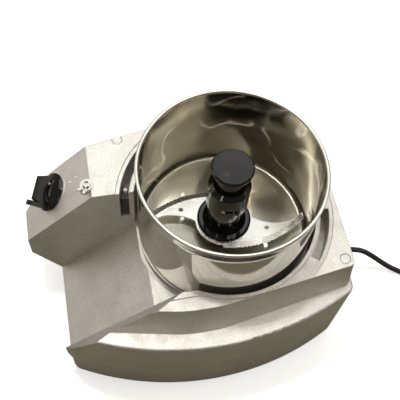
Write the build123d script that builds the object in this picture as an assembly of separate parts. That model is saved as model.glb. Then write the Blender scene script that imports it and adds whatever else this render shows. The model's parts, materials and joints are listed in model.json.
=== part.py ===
"""Table-top bowl cutter: cast base, lift-off bowl, S-knife on a locking hub, rotary switch.

Millimetres, +Z up. The pieces are drawn about the drive axis, with z = 0 on the table, and saved
about the origin, which is the middle of the base's footprint. +X is the machine's right and
-Y its front, where the switch panel and the chute face the user.
"""
from build123d import *
import os
from math import asin, cos, degrees, pi, radians, sin, sqrt, tan

os.makedirs("parts", exist_ok=True)

# ---------------------------------------------------------------- driving dimensions
SEAT_GAP = 0.3            # between pieces that seat on each other
RUN_CLEARANCE = 0.05      # radial, shaft in bearing or bush
HOLE_CLEARANCE = 0.3      # radial, screw in its hole
FAR = 500.0               # reach of a cut that goes past the whole part
THROUGH = 1.0             # how far a cut runs past the face that it opens

# bowl
BOWL_R = 99.0             # outside of the wall
BOWL_WALL = 1.3
BOWL_FLOOR_Z = 145.0      # inside of the floor
BOWL_RIM_Z = 276.0
BEAD_R = 1.7
BOWL_CORNER_R = 5.0
CHIMNEY_R = 14.4          # tube around the shaft, outside
CHIMNEY_TOP_Z = 192.0
BOWL_RING_R_IN = 42.0
BOWL_RING_R_OUT = BOWL_R - 9.0
RING_NOTCH_R = 5.0

# base casting: levels above the table
BASE_BOTTOM = 12.0        # rim of the skirt
LEDGE_Z = 139.0           # crescent ledge between skirt and upper body
WELL_FLOOR_Z = 139.5      # floor that the bowl stands on
APRON_Z = 145.0           # flat apron between bowl and chute
DECK_Z = 185.0            # deck around the bowl
TOWER_Z = 211.0           # control tower's top
WALL = 6.0                # cast wall

# base casting: plan, worked out from the well
WELL_R = BOWL_R + 4.3
UPPER_HALF_BACK = WELL_R - 8.8    # upper body's half widths at the ledge
UPPER_HALF_MID = WELL_R + 18.7
UPPER_HALF_FRONT = WELL_R - 7.3
UPPER_BACK_Y = WELL_R + 28.7
MID_BACK_Y = -25.0        # the straight flank between these two
MID_FRONT_Y = -65.0
SKIRT_HALF_BACK = UPPER_HALF_BACK + 6.5
SKIRT_HALF_MID = UPPER_HALF_MID + 20.0
SKIRT_HALF_FRONT = UPPER_HALF_FRONT + 2.0
SKIRT_MID_Y = -10.0
SKIRT_CORNER_R = 14.0
LEDGE_ROUND = 3.6
BACK_Y = UPPER_BACK_Y + 4.0
PANEL_BREAK_Y = -(WELL_R + 42.7)  # tower's top edge of the 45 degree panel
FRONT_Y = PANEL_BREAK_Y - 51.0
NOSE_Y = FRONT_Y - 30.0   # front of the tower's nose
DRAFT_BACK = 0.108        # lean of each wall, mm inward per mm of height
DRAFT_MID = 0.207
DRAFT_FRONT = 0.17
DRAFT_Y = 0.076
SHOULDER_R = 150.0        # soft bends of the flank in plan
CORNER_R = 7.0
NOSE_FOOT_Z = 98.0
NOSE_CHAMFER = 34.0
CHIN_TOP_Z = 124.0        # below this the upper body's walls are upright
CHIN_FOOT_Z = 43.0        # where the nose's underside meets the front wall
TOWER_X = -25.0           # tower's inner wall
TOWER_BACK_Y = 18.0       # where the tower starts to fall to the deck
CHUTE_BREAK_Y = -(WELL_R - 8.3)   # apron's edge of the 45 degree chute
CHUTE_RIGHT_X = WELL_R - 12.8
APRON_BACK_Y = -(WELL_R - 63.3)   # inside the well
CHEEK_POINT = (CHUTE_RIGHT_X + 10.5, -(WELL_R - 16.8))     # where the right strip is cut off
CHEEK_HEADING = (0.876, 0.483)  # level direction at right angles to that cut
CHEEK_SLOPE = 61.0

# collar and the lid's bayonet pockets
COLLAR_W = 4.2
COLLAR_H = 1.6
STRIP_LIP = [(CHEEK_POINT[0] + x, CHEEK_POINT[1] + y)
             for x, y in ((8, -12.5), (-3.5, 7.5), (-3.7, 38.5), (1, 53.5))]
POCKET_R_IN = WELL_R + 5.7
POCKET_R_OUT = POCKET_R_IN + 10.0
POCKET_WALL = 4.0
POCKET_ANGLE = 65.5       # middle of the right pocket, the left one lies opposite
POCKET_SPAN = 33.0
POCKET_FLOOR_Z = 157.0
STEP_R_OUT = POCKET_R_OUT + 4.5   # shallow step around each pocket
STEP_SPAN = 52.0
STEP_DEPTH = 1.4
DECK_PLUG_R = 5.6
DECK_PLUG_H = 3.0
DECK_PLUG_WALL = 3.0
DECK_PLUG_BOSS_H = 14.0
DECK_PLUGS = {"deck_plug_right": (WELL_R + 40.7, 55.8, DECK_Z),      # radius, angle, level
              "deck_plug_left": (WELL_R + 41.9, 228.9, TOWER_Z)}

# drive
SHAFT_R = 8.0
SHAFT_TOP_Z = 243.0
SHAFT_FOOT_Z = 27.0
SHAFT_FLAT = 6.4          # half distance across the driving flats
SHAFT_CHAMFER = 1.2
DRIVE_Z = 214.0           # from here up the shaft is flatted
MOTOR_R = 62.0
MOTOR_FLANGE_R = 74.0
MOTOR_TOP_Z = 127.0       # face that bolts to the casting's bosses
SHIELD_H = 12.0
SHIELD_HOLE_R = SHAFT_R + 2.0
AIR_HOLE_R = 6.0
AIR_HOLES = 8
STATOR_H = 56.0
STATOR_TOP_Z = MOTOR_TOP_Z - SHIELD_H
STATOR_FOOT_Z = STATOR_TOP_Z - STATOR_H
STATOR_BORE_R = 34.0
STATOR_FINS = 24
FIN_DEPTH = 3.0
FIN_W = 3.2
ROTOR_GAP = 0.6
ROTOR_END = 4.0           # rotor's ends inside the stator's
WINDING_R_IN = STATOR_BORE_R + 3.0
WINDING_R_OUT = STATOR_BORE_R + 14.0
WINDING_H = 7.0
WINDING_ROOM = 1.0        # between the end turns and the shields
BEARING_R = 17.5
BEARING_H = 11.0
BEARING_WALL = 5.0
MOTOR_BOLT_PCD_R = 67.5
MOTOR_BOLT_R = 3.0
BOLT_HEAD_R = 5.5
BOLT_HEAD_H = 5.0
BOSS_R = 8.5
SEAL_R = 16.0
SEAL_H = 7.0
SEAL_WALL = 6.0
FAN_R = 52.0
FAN_HUB_R = 12.0
FAN_HUB_H = 10.0
FAN_BLADES = 9
FAN_BLADE = (36.0, 1.6, 7.2)      # length, thickness, height
FAN_BLADE_TURN = 20.0

# knife and its hub
KNIFE_TOP_Z = 163.5
KNIFE_T = 2.5
KNIFE_HUB_R = 33.0
KNIFE_BORE_R = 17.0
EDGE_CENTRE = (-75.8, 22.0)    # centre of a wing's cutting edge
EDGE_R = 115.0
BACK_CENTRE = (-33.0, 65.0)    # centre of its hollow back
BACK_R = 48.0
TIP_R = 94.6
GRIND_W = 7.0             # ground bevel along the cutting edge
GRIND_DEPTH = 1.7
GRIND_FROM_Y = 11.0
TOOTH_PITCH = 4.6
TOOTH_R = 2.3
TOOTH_DEPTH = 1.0
LUG_ANGLE = 9.5           # of the large tooth on the cutting edge, about the edge's centre
LUG_OUT = 5.5
LUG_W = 4.6
WING_HOLE_R = 2.6
WING_HOLE = (50.8, 67.5)  # radius and angle about the shaft
BASE_RING_R = 31.0
BASE_RING_H = 5.0
BASE_RING_EDGE = 2.0
HUB_CLEARANCE = 0.1       # radial, hub's spigot in the knife
SLEEVE_R = 19.4
SLEEVE_BORE_R = CHIMNEY_R + 0.8
SLEEVE_TOP_Z = 236.0
SLEEVE_FLARE = 5.5        # cone between the sleeve and its flange
KNIFE_NUT_R = 24.0
KNIFE_NUT_H = 6.0
NUT_SLOT_R = 3.0
FLAT_CLEARANCE = 0.1
LOCK_PIN_R = 2.2
LOCK_PIN_Z = 221.0
LOCK_PIN_ANGLE = -25.0
LOCK_PIN_IN = 6.0         # pin's hold inside the sleeve
LOCK_TURN = 35.0          # degrees of the cap's bayonet
CAP_R = 22.6
CAP_TOP_Z = 279.0
CAP_DISC_H = 7.0
CAP_NECK_R = 16.5
CAP_CAVITY_R = CAP_NECK_R - 5.0
CAP_EDGE = 1.5
CAP_FLARE = 4.0           # cones at the neck's two ends
COLLAR_R = 23.2           # cap's lower collar over the sleeve
COLLAR_FOOT_Z = 207.0
COLLAR_TOP_Z = 246.0

# switch knob on the panel
KNOB_X = -65.6
KNOB_ALONG = 65.6         # down the panel's slope from its top edge
KNOB_RING_R = 24.4
KNOB_RING_H = 1.2
KNOB_SKIRT_R = 23.0
KNOB_SKIRT_H = 9.0
KNOB_BAR = (27.0, 7.6, 22.0)      # length, width, height over the panel
KNOB_BAR_FLARE = (12.0, 1.4)      # wider by this at its foot
KNOB_BAR_ROUND = 1.5
KNOB_FOOT_Z = 3.0
KNOB_FIN = (5.5, 8.0, 28.5)
KNOB_TURN = -31.0         # heading of the grip at rest
SPINDLE_R = 3.0
SPINDLE_OUT = 8.0         # above the panel
SPINDLE_IN = 12.0         # into the switch body
SWITCH_SIZE = (20.0, 26.0, 24.0)
SWITCH_TAB = (0.8, 5.0, 7.0)

# interlock post on the tower and the lid switch in the left pocket
POST_POINT = (TOWER_X - 16.0, PANEL_BREAK_Y - 4.0)
POST_R = 8.0
POST_H = 22.0
POST_SCREW_R = 2.5
POST_SCREW_L = 14.0
POST_HEAD_R = 4.6
POST_HEAD_H = 4.0
CLIP_R = 7.4
CLIP_T = 1.5
CLIP_REACH = 12.5
CLIP_TABS = (-62.0, -22.0)
LID_SWITCH_ANGLE = 252.0
LID_SWITCH_SPAN = 8.0
LID_SWITCH_GAP = 0.4
LID_SWITCH_TOP_Z = TOWER_Z - 18.0
PLUNGER_R = 2.5
PLUNGER_IN = 16.0
PLUNGER_OUT = 8.0
PLUNGER_ROOM = 4.0        # under the plunger, more than its travel

# feet and bottom plate
FOOT_R = 15.0
FOOT_EDGE = 2.0
FOOT_TAPER = 2.5
FOOT_RECESS = (6.0, 5.0)  # radius and depth round its screw
FOOT_FRONT_Y = FRONT_Y + 32.0
FOOT_BACK_Y = BACK_Y - 31.0
FOOT_INSET = 21.9         # from the skirt's side
PLATE_T = 2.0
PLATE_EDGE = 1.0          # plate's rim inside the skirt's wall
PLATE_SCREW_R = 2.0
PLATE_SCREW_L = 10.0
SCREW_HEAD_R = 4.0
SCREW_HEAD_H = 2.5
SCREW_INSET = 17.0        # from the skirt's side or end
SIDE_SCREW_YS = (-60.0, 50.0)
LUG_BOSS_R = 6.5
LUG_H = 14.0
VENT = (26.0, 5.0)        # slots in the plate under the fan
VENTS = 12
VENT_AT_R = 42.0

# electrics on the bottom plate
BOARD_SIZE = (70.0, 50.0, 1.6)
BOARD_AT = (KNOB_X + 10.6, PANEL_BREAK_Y + 6.0, BASE_BOTTOM + 14.0)
SPACER_R = 3.0
SPACER_INSET = 5.0
TRANSFORMER = (30.0, 32.0, 24.0)
RELAY = (18.0, 18.0, 16.0)
CAPACITOR_R = 19.0
CAPACITOR_H = 62.0
CAPACITOR_AT = (-78.0, BACK_Y - 58.0)
CAPACITOR_TAB = (0.8, 6.0, 8.0)
TERMINAL_SIZE = (40.0, 20.0, 18.0)
TERMINAL_AT = (60.0, BACK_Y - 36.0)
TERMINAL_PITCH = 12.0
TERMINAL_HOLE_R = 3.0

# cord
CORD_R = 3.5
GLAND_X = 15.0
GLAND_Z = 50.0
GLAND_HOLE_R = 8.2
GLAND_LIP = 2.0
RELIEF_L = 42.0
RELIEF_R = (6.4, 4.4)     # at its root and at its end
COIL_AT = (35.0, 322.0)
COIL_MID_R = 38.5
COIL_ROWS = 3             # turns side by side in each of the two layers
COIL_ENTRY = -40.0        # angle on the coil where the lead comes in
COIL_EXIT = 120.0         # and where its end leaves for the plug
PLUG_R = 18.5
PLUG_L = 26.0
PLUG_CONE_L = 30.0
PLUG_CONE_R = (5.0, 7.0)  # at the cord, and further up its cone
PLUG_EDGE = 2.5
PLUG_SLOT = (4.0, 8.0, 40.0)      # grooves for the side contacts
PLUG_END = (-12.0, 347.5, PLUG_R + 0.2)
PLUG_HEADING = 211.0
PLUG_PIN_R = 2.4
PLUG_PIN_L = 19.0
PLUG_PIN_IN = 8.0
PLUG_PIN_PITCH = 19.0

ORIGIN_Y = (NOSE_Y + BACK_Y) / 2  # middle of the footprint, seen from the drive axis


def revolve_profile(points):
    """A solid of revolution about Z from (radius, height) points."""
    outline = Polyline(*[(r, 0, z) for r, z in points], close=True)
    return revolve(make_face(outline), Axis.Z, 360)


def cylinder(radius, z_low, z_high, x=0, y=0):
    return Pos(x, y, (z_low + z_high) / 2) * Cylinder(radius, z_high - z_low)


def tube(radius, bore, z_low, z_high, x=0, y=0):
    return cylinder(radius, z_low, z_high, x, y) - cylinder(bore, z_low - THROUGH, z_high + THROUGH, x, y)


def block(x_low, x_high, y_low, y_high, z_low, z_high):
    size = (x_high - x_low, y_high - y_low, z_high - z_low)
    return Pos((x_low + x_high) / 2, (y_low + y_high) / 2, (z_low + z_high) / 2) * Box(*size)


def sector(r_in, r_out, middle, span, z_low, z_high):
    """A ring sector, upright, centred on an angle in degrees."""
    corners = []
    for r, a in ((r_in, -1), (r_in, 0), (r_in, 1), (r_out, 1), (r_out, 0), (r_out, -1)):
        angle = radians(middle + a * span / 2)
        corners.append((r * cos(angle), r * sin(angle)))
    rim = [ThreePointArc(*corners[:3]), Line(corners[2], corners[3]),
           ThreePointArc(*corners[3:]), Line(corners[5], corners[0])]
    return Pos(0, 0, z_low) * extrude(make_face(rim), z_high - z_low)


def on_circle(radius, angle):
    return radius * cos(radians(angle)), radius * sin(radians(angle))


def save(name, *solids):
    """Write a node's solid, or its several solids as a compound, about the shared origin."""
    moved = [Pos(0, -ORIGIN_Y, 0) * solid for solid in solids]
    export_step(moved[0] if len(moved) == 1 else Compound(children=moved), f"parts/{name}.step")


# ---------------------------------------------------------------- base casting
def side_prism(profile, x_low, x_high):
    """Extrude a (y, z) profile along X."""
    face = make_face(Polyline(*[(0, y, z) for y, z in profile], close=True))
    return Pos(x_low, 0, 0) * extrude(face, x_high - x_low, dir=(1, 0, 0))


def skirt_flank(inset=0):
    """The skirt's right side in plan, one arc through its three driving points."""
    return ThreePointArc((SKIRT_HALF_FRONT - inset, FRONT_Y + inset), (SKIRT_HALF_MID - inset, SKIRT_MID_Y),
                         (SKIRT_HALF_BACK - inset, BACK_Y - inset))


def skirt_half(y):
    """Half width of the skirt at y."""
    flank = skirt_flank()
    centre = flank.arc_center
    return centre.X + sqrt(flank.radius ** 2 - (y - centre.Y) ** 2)


def skirt(inset):
    right = skirt_flank(inset)
    left = mirror(right, Plane.YZ)
    plan = make_face([right, left, Line(right @ 0, left @ 0), Line(right @ 1, left @ 1)])
    plan = fillet(plan.vertices(), max(SKIRT_CORNER_R - inset, 1))
    body = Pos(0, 0, BASE_BOTTOM) * extrude(plan, LEDGE_Z - inset - BASE_BOTTOM)
    if inset:
        return body
    return fillet(body.edges().group_by(Axis.Z)[-1], LEDGE_ROUND)


def upper_plan(z, inset):
    rise = z - LEDGE_Z
    half_back = UPPER_HALF_BACK - DRAFT_BACK * rise - inset
    half_mid = UPPER_HALF_MID - DRAFT_MID * rise - inset
    half_front = UPPER_HALF_FRONT - DRAFT_FRONT * rise - inset
    back = UPPER_BACK_Y - DRAFT_Y * rise - inset
    front = NOSE_Y + inset
    right = [(half_back, back), (half_mid, MID_BACK_Y), (half_mid, MID_FRONT_Y),
             (half_front, front + NOSE_CHAMFER), (half_front - NOSE_CHAMFER, front)]
    left = [(-x, y) for x, y in reversed(right)]
    plan = make_face(Polyline(*right, *left, close=True))
    bends = plan.vertices().filter_by(lambda v: abs(abs(v.X) - half_mid) < 0.01)
    plan = fillet(bends, SHOULDER_R)
    ends = plan.vertices().filter_by(lambda v: v.Y > back - 0.01 or v.Y < front + NOSE_CHAMFER + 0.01)
    return Pos(0, 0, z) * fillet(ends, max(CORNER_R - inset, 1))


def envelope(inset):
    """The casting's outer form, or the same form with every face moved in by inset."""
    slope_inset = inset * sqrt(2)
    break_inset = inset * tan(radians(45 / 2))
    top = TOWER_Z - inset
    deck = DECK_Z - inset
    body = loft([upper_plan(CHIN_TOP_Z, inset), upper_plan(top, inset)], ruled=True)
    body += extrude(upper_plan(CHIN_TOP_Z, inset), CHIN_FOOT_Z - CHIN_TOP_Z)
    # nose: cut back below it, over the whole width
    chin = [(-FAR, 0), (-FAR, NOSE_FOOT_Z + inset), (NOSE_Y + inset, NOSE_FOOT_Z + inset),
            (FRONT_Y + inset, CHIN_FOOT_Z + inset), (FRONT_Y + inset, 0)]
    body -= side_prism(chin, -FAR, FAR)
    # deck level everywhere outside the tower
    body -= block(TOWER_X - inset, FAR, -FAR, FAR, deck, FAR)
    fall = [(TOWER_BACK_Y - inset, FAR), (TOWER_BACK_Y - inset, top),
            (TOWER_BACK_Y + TOWER_Z - DECK_Z - inset, deck), (FAR, deck), (FAR, FAR)]
    body -= side_prism(fall, -FAR, FAR)
    # 45 degree switch panel
    panel_cut = [(PANEL_BREAK_Y - TOWER_Z, -slope_inset), (PANEL_BREAK_Y - TOWER_Z, FAR),
                 (PANEL_BREAK_Y - TOWER_Z + FAR, FAR - slope_inset)]
    body -= side_prism(panel_cut, -FAR, FAR)
    body += skirt(inset)
    if inset == 0:
        body += collar()
    # 45 degree chute and the apron in front of the bowl
    run = CHUTE_BREAK_Y - FRONT_Y
    chute = [(APRON_BACK_Y + inset, FAR), (APRON_BACK_Y + inset, APRON_Z - inset),
             (CHUTE_BREAK_Y + break_inset, APRON_Z - inset),
             (FRONT_Y + inset, APRON_Z - run + inset - slope_inset), (FRONT_Y + inset, 0),
             (-FAR, 0), (-FAR, FAR)]
    body -= side_prism(chute, TOWER_X - inset, CHUTE_RIGHT_X + inset)
    # right strip's front end falls away steeply
    level = Vector(*CHEEK_HEADING, 0).normalized()
    lean = radians(CHEEK_SLOPE)
    normal = Vector(-level.X * sin(lean), -level.Y * sin(lean), cos(lean))
    start = Vector(*CHEEK_POINT, DECK_Z) - normal * inset
    cheek = Plane(origin=start, z_dir=normal) * (Pos(0, 0, FAR / 2) * Box(2 * FAR, 2 * FAR, FAR))
    body -= cheek & block(CHUTE_RIGHT_X - inset - THROUGH, FAR, -FAR, 0, 0, FAR)
    # well for the bowl
    body -= cylinder(WELL_R + inset, WELL_FLOOR_Z - inset, FAR)
    return body


def collar():
    """Lip round the well and along the right strip's inner edge."""
    low = DECK_Z - THROUGH
    ring = cylinder(WELL_R + COLLAR_W, low, DECK_Z + COLLAR_H)
    ring -= block(-FAR, TOWER_X, -FAR, TOWER_BACK_Y + TOWER_Z - DECK_Z, 0, FAR)
    ring -= block(-FAR, CHUTE_RIGHT_X, -FAR, APRON_BACK_Y, 0, FAR)
    inner_x = CHUTE_RIGHT_X - 2 * THROUGH
    inner = [(inner_x, STRIP_LIP[-1][1]), (inner_x, STRIP_LIP[0][1])]
    strip = make_face(Polyline(*STRIP_LIP, *inner, close=True))
    return ring + Pos(0, 0, low) * extrude(strip, COLLAR_H + THROUGH)


def bayonet_pocket(casting, outer, angle, top):
    """Arc-shaped pocket with its own walls, and the shallow step around its mouth."""
    lump = sector(WELL_R + SEAT_GAP, POCKET_R_OUT + POCKET_WALL, angle, POCKET_SPAN + POCKET_WALL,
                  POCKET_FLOOR_Z - POCKET_WALL, top - STEP_DEPTH / 2)
    casting += lump & outer
    casting -= sector(POCKET_R_IN, POCKET_R_OUT, angle, POCKET_SPAN, POCKET_FLOOR_Z, top + THROUGH)
    casting -= sector(WELL_R + COLLAR_W + SEAT_GAP, STEP_R_OUT, angle, STEP_SPAN,
                      top - STEP_DEPTH, top + THROUGH)
    return casting


def plate_screw_points():
    """Each bottom plate screw: its place and the outward heading to the nearest wall."""
    points = [(0, FRONT_Y + SCREW_INSET, -90), (0, BACK_Y - SCREW_INSET, 90)]
    for y in SIDE_SCREW_YS:
        x = skirt_half(y) - SCREW_INSET
        points += [(x, y, 0), (-x, y, 180)]
    return points


def foot_points():
    x = skirt_half(FOOT_FRONT_Y) - FOOT_INSET
    return {f"foot_{row}_{side}": (sign * x, y) for row, y in (("front", FOOT_FRONT_Y), ("back", FOOT_BACK_Y))
            for side, sign in (("left", -1), ("right", 1))}


def base_casting():
    outer = envelope(0)
    casting = outer - envelope(WALL) - block(-FAR, FAR, -FAR, FAR, 0, BASE_BOTTOM)
    casting -= Pos(0, 0, -THROUGH) * (skirt(WALL) & block(-FAR, FAR, -FAR, FAR, 0, BASE_BOTTOM + WALL))
    casting = bayonet_pocket(casting, outer, POCKET_ANGLE, DECK_Z)
    casting = bayonet_pocket(casting, outer, POCKET_ANGLE + 180, TOWER_Z)
    # seats of the two round plugs, with their bosses
    for radius, angle, top in DECK_PLUGS.values():
        x, y = on_circle(radius, angle)
        casting += cylinder(DECK_PLUG_R + DECK_PLUG_WALL, top - DECK_PLUG_BOSS_H, top - THROUGH, x, y) & outer
        casting -= cylinder(DECK_PLUG_R + SEAT_GAP, top - DECK_PLUG_H, top + THROUGH, x, y)
    # shaft seal's seat and the motor's four bosses
    casting += cylinder(SEAL_R + SEAL_WALL, MOTOR_TOP_Z, WELL_FLOOR_Z - THROUGH)
    casting -= cylinder(SEAL_R, WELL_FLOOR_Z - SEAL_H, WELL_FLOOR_Z + THROUGH)
    casting -= cylinder(SHIELD_HOLE_R, MOTOR_TOP_Z - THROUGH, WELL_FLOOR_Z)
    for k in range(4):
        x, y = on_circle(MOTOR_BOLT_PCD_R, 45 + 90 * k)
        boss_top = WELL_FLOOR_Z - WALL / 2
        casting += cylinder(BOSS_R, MOTOR_TOP_Z, boss_top, x, y)
        casting -= cylinder(MOTOR_BOLT_R + HOLE_CLEARANCE, MOTOR_TOP_Z - THROUGH, boss_top, x, y)
    # lugs for the bottom plate's screws
    low = BASE_BOTTOM + PLATE_T
    inside = skirt(WALL / 2)
    for x, y, heading in plate_screw_points():
        arm = block(0, SCREW_INSET, -LUG_BOSS_R, LUG_BOSS_R, low, low + LUG_H)
        lug = Pos(x, y, 0) * (cylinder(LUG_BOSS_R, low, low + LUG_H) + Rot(0, 0, heading) * arm)
        casting += lug & inside
        casting -= cylinder(PLATE_SCREW_R + HOLE_CLEARANCE, 0, low + PLATE_SCREW_L, x, y)
    # rotary switch spindle through the panel
    casting -= panel_frame() * cylinder(SPINDLE_R + THROUGH, -2 * WALL, THROUGH)
    # interlock post on the tower's inner front corner
    casting += cylinder(POST_R, TOWER_Z - POST_H, TOWER_Z, *POST_POINT)
    casting -= cylinder(POST_SCREW_R + HOLE_CLEARANCE, TOWER_Z - POST_SCREW_L, TOWER_Z + THROUGH, *POST_POINT)
    # cable gland's hole in the back wall
    casting -= along_y(BACK_Y) * cylinder(GLAND_HOLE_R, -2 * WALL, 2 * WALL)
    return casting


def panel_frame():
    """Local frame of the switch: origin on the panel, x = machine's X, z out of the panel."""
    drop = KNOB_ALONG * sin(radians(45))
    origin = (KNOB_X, PANEL_BREAK_Y - drop, TOWER_Z - drop)
    return Plane(origin=origin, x_dir=(1, 0, 0), z_dir=(0, -1, 1)).location


# ---------------------------------------------------------------- bowl
def bowl():
    """Pressed bowl: straight wall, rounded corner, rolled bead, chimney round the shaft."""
    inner_r = BOWL_R - BOWL_WALL
    floor_low = BOWL_FLOOR_Z - BOWL_WALL
    out_corner = BOWL_CORNER_R + BOWL_WALL
    chimney_in = CHIMNEY_R - BOWL_WALL
    k = 1 - sqrt(0.5)
    bead_z = BOWL_RIM_Z - BEAD_R
    lines = [
        Line((chimney_in, 0, floor_low), (BOWL_R - out_corner, 0, floor_low)),
        ThreePointArc((BOWL_R - out_corner, 0, floor_low),
                      (BOWL_R - out_corner * k, 0, floor_low + out_corner * k),
                      (BOWL_R, 0, floor_low + out_corner)),
        Line((BOWL_R, 0, floor_low + out_corner), (BOWL_R, 0, bead_z)),
        ThreePointArc((BOWL_R, 0, bead_z), (BOWL_R + BEAD_R, 0, bead_z + BEAD_R * 0.6),
                      (BOWL_R - BOWL_WALL / 2, 0, BOWL_RIM_Z)),
        ThreePointArc((BOWL_R - BOWL_WALL / 2, 0, BOWL_RIM_Z),
                      (inner_r - BEAD_R * 0.4, 0, bead_z + BEAD_R * 0.5), (inner_r, 0, bead_z)),
        Line((inner_r, 0, bead_z), (inner_r, 0, BOWL_FLOOR_Z + BOWL_CORNER_R)),
        ThreePointArc((inner_r, 0, BOWL_FLOOR_Z + BOWL_CORNER_R),
                      (inner_r - BOWL_CORNER_R * k, 0, BOWL_FLOOR_Z + BOWL_CORNER_R * k),
                      (inner_r - BOWL_CORNER_R, 0, BOWL_FLOOR_Z)),
        Line((inner_r - BOWL_CORNER_R, 0, BOWL_FLOOR_Z), (CHIMNEY_R, 0, BOWL_FLOOR_Z)),
        Line((CHIMNEY_R, 0, BOWL_FLOOR_Z), (CHIMNEY_R, 0, CHIMNEY_TOP_Z)),
        Line((CHIMNEY_R, 0, CHIMNEY_TOP_Z), (chimney_in, 0, CHIMNEY_TOP_Z)),
        Line((chimney_in, 0, CHIMNEY_TOP_Z), (chimney_in, 0, floor_low)),
    ]
    return revolve(make_face(lines), Axis.Z, 360)


def bowl_ring():
    """Foot ring under the bowl, with three locating notches."""
    low = WELL_FLOOR_Z + SEAT_GAP
    ring = tube(BOWL_RING_R_OUT, BOWL_RING_R_IN, low, BOWL_FLOOR_Z - BOWL_WALL)
    for k in range(3):
        ring -= cylinder(RING_NOTCH_R, low - THROUGH, BOWL_FLOOR_Z, *on_circle(BOWL_RING_R_OUT, 120 * k + 30))
    return ring


save("bowl", bowl())
save("bowl_foot_ring", bowl_ring())


# ---------------------------------------------------------------- knife, hub and cap
def wing():
    """One S-wing towards +Y, between a bulging cutting edge and a hollow back."""
    cx, cy = EDGE_CENTRE
    bx, by = BACK_CENTRE

    def edge_at(y):
        return cx + sqrt(EDGE_R ** 2 - (y - cy) ** 2), y

    def back_at(y):
        return bx + sqrt(BACK_R ** 2 - (y - by) ** 2), y

    root_y, tip_y = -8.0, TIP_R - 1.4
    heel_y, toe_y = 30.0, TIP_R - 1.0
    root, tip = edge_at(root_y), edge_at(tip_y)
    heel, toe = back_at(heel_y), back_at(toe_y)
    lines = [ThreePointArc(root, edge_at((root_y + tip_y) / 2), tip), Line(tip, toe),
             ThreePointArc(toe, back_at((heel_y + toe_y) / 2), heel), Line(heel, (0, 0)), Line((0, 0), root)]
    plate = make_face(lines)
    # serrations along the cutting edge
    first = asin((GRIND_FROM_Y + 1.0 - cy) / EDGE_R)
    last = asin((TIP_R - 6.0 - cy) / EDGE_R)
    count = int(EDGE_R * (last - first) / TOOTH_PITCH)
    for k in range(count + 1):
        a = first + k * (last - first) / count
        if abs(a - radians(LUG_ANGLE)) * EDGE_R < LUG_W:
            continue
        reach = EDGE_R + TOOTH_R - TOOTH_DEPTH
        plate -= Pos(cx + reach * cos(a), cy + reach * sin(a)) * Circle(TOOTH_R)
    a = radians(LUG_ANGLE)
    lug = Pos(cx + (EDGE_R + LUG_OUT / 2 - 2) * cos(a), cy + (EDGE_R + LUG_OUT / 2 - 2) * sin(a))
    plate += lug * Rot(0, 0, LUG_ANGLE - 12) * SlotOverall(LUG_OUT + 4, LUG_W)
    plate -= Pos(*on_circle(*WING_HOLE)) * Circle(WING_HOLE_R)
    return plate


def edge_grind():
    """What is ground off one wing's cutting edge from above: a cone about the edge's centre."""
    low, out = KNIFE_TOP_Z - GRIND_DEPTH, EDGE_R + LUG_OUT + THROUGH
    section = [(EDGE_R - GRIND_W, KNIFE_TOP_Z), (EDGE_R, low), (out, low), (out, KNIFE_TOP_Z + THROUGH),
               (EDGE_R - GRIND_W, KNIFE_TOP_Z + THROUGH)]
    face = make_face(Polyline(*[(r, 0, z) for r, z in section], close=True))
    first, last = (degrees(asin((y - EDGE_CENTRE[1]) / EDGE_R)) for y in (GRIND_FROM_Y, TIP_R))
    return Pos(*EDGE_CENTRE, 0) * Rot(0, 0, first) * revolve(face, Axis.Z, last - first)


def knife_blade():
    plate = wing() + Rot(0, 0, 180) * wing() + Circle(KNIFE_HUB_R)
    plate -= Circle(KNIFE_BORE_R)
    blade = Pos(0, 0, KNIFE_TOP_Z - KNIFE_T) * extrude(plate, KNIFE_T)
    for turn in (0, 180):
        blade -= Rot(0, 0, turn) * edge_grind()
    return blade


def knife_hub():
    """Sleeve over the chimney and the shaft, with the flange that holds the knife."""
    foot = KNIFE_TOP_Z - KNIFE_T - KNIFE_NUT_H
    spigot_r = KNIFE_BORE_R - HUB_CLEARANCE
    ring_top = KNIFE_TOP_Z + BASE_RING_H
    body = revolve_profile([
        (0, foot), (spigot_r, foot), (spigot_r, KNIFE_TOP_Z), (BASE_RING_R, KNIFE_TOP_Z),
        (BASE_RING_R, ring_top - BASE_RING_EDGE), (BASE_RING_R - BASE_RING_EDGE, ring_top),
        (SLEEVE_R + SLEEVE_FLARE, ring_top), (SLEEVE_R, ring_top + SLEEVE_FLARE),
        (SLEEVE_R, SLEEVE_TOP_Z), (0, SLEEVE_TOP_Z)])
    body -= cylinder(SLEEVE_BORE_R, 0, CHIMNEY_TOP_Z + 2)
    body -= cylinder(SHAFT_R + RUN_CLEARANCE, 0, DRIVE_Z)
    key = Pos(0, 0, (DRIVE_Z + SLEEVE_TOP_Z) / 2) * Box(
        2 * (SHAFT_FLAT + FLAT_CLEARANCE), 3 * SHAFT_R, SLEEVE_TOP_Z - DRIVE_Z + 2)
    body -= key & cylinder(SHAFT_R + RUN_CLEARANCE, DRIVE_Z - 1, SLEEVE_TOP_Z + 1)
    for side in (0, 180):
        body -= lock_pin_at(side, SLEEVE_R - LOCK_PIN_IN, COLLAR_R, LOCK_PIN_R)
    return body


def lock_pin_at(side, r_in, r_out, radius):
    pin = Pos((r_in + r_out) / 2, 0, LOCK_PIN_Z) * Rot(0, 90, 0) * Cylinder(radius, r_out - r_in)
    return Rot(0, 0, LOCK_PIN_ANGLE + side) * pin


def lock_pins():
    return [lock_pin_at(side, SLEEVE_R - LOCK_PIN_IN, COLLAR_R + SEAT_GAP, LOCK_PIN_R) for side in (0, 180)]


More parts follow.
